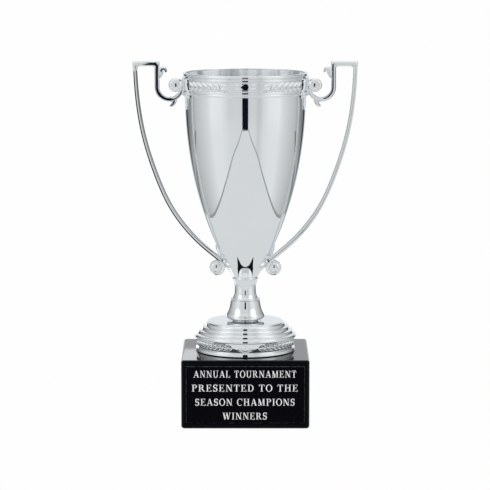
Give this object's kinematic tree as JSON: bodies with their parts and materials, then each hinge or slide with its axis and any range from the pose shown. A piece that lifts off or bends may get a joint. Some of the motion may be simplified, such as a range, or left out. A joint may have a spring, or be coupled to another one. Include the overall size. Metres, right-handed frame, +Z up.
{
  "type": "cup trophy",
  "caption": "Two-handled silver cup trophy: tapered bowl, laurel rim band, scroll handles, turned stem and ringed foot on a square black base with a name plate.",
  "frame": {"origin": "centre of the base's underside, on the surface it stands on", "axes": "+Z up through the cup's mouth; -Y is the front, with the name plate; the handles lie along +X and -X"},
  "size_m": [0.1348, 0.0762, 0.2159],
  "materials": {
    "chrome": "bright nickel-chrome plating, mirror polished",
    "base_plastic": "black moulded plastic, high gloss",
    "plate": "black lacquered aluminium with engraved lettering showing silver",
    "engraving": "bare satin metal where the lacquer is cut away",
    "steel": "zinc plated",
    "iron": "as cast, dull",
    "grey_plastic": "moulded, matt",
    "fibreboard": "pressed hardboard, brown",
    "felt": "dark green felt",
    "tape": "white foam mounting tape"
  },
  "bodies": {
    "root": {"base_shell": "base_plastic", "base_cover": "fibreboard", "base_weight": "iron", "base_felt": "felt", "plate_tape": "tape", "name_plate": "plate", "tie_rod": "steel", "bowl_washer": "steel", "bowl_nut": "steel", "base_washer": "steel", "lock_washer": "steel", "base_nut": "steel", "foot": "chrome", "foot_spacer": "grey_plastic", "stem_spool": "chrome", "stem_knop": "chrome", "stem_collar": "chrome", "stem_waist": "chrome", "stem_ring": "chrome", "bowl": "chrome", "rim_band": "chrome", "cover_screw_1": "steel", "cover_screw_2": "steel", "cover_screw_3": "steel", "cover_screw_4": "steel", "handle_bracket_right": "chrome", "handle_right": "chrome", "upper_washer_right": "steel", "upper_screw_right": "steel", "lower_washer_right": "steel", "lower_screw_right": "steel", "handle_bracket_left": "chrome", "handle_left": "chrome", "upper_washer_left": "steel", "upper_screw_left": "steel", "lower_washer_left": "steel", "lower_screw_left": "steel"}
  },
  "joints": []
}
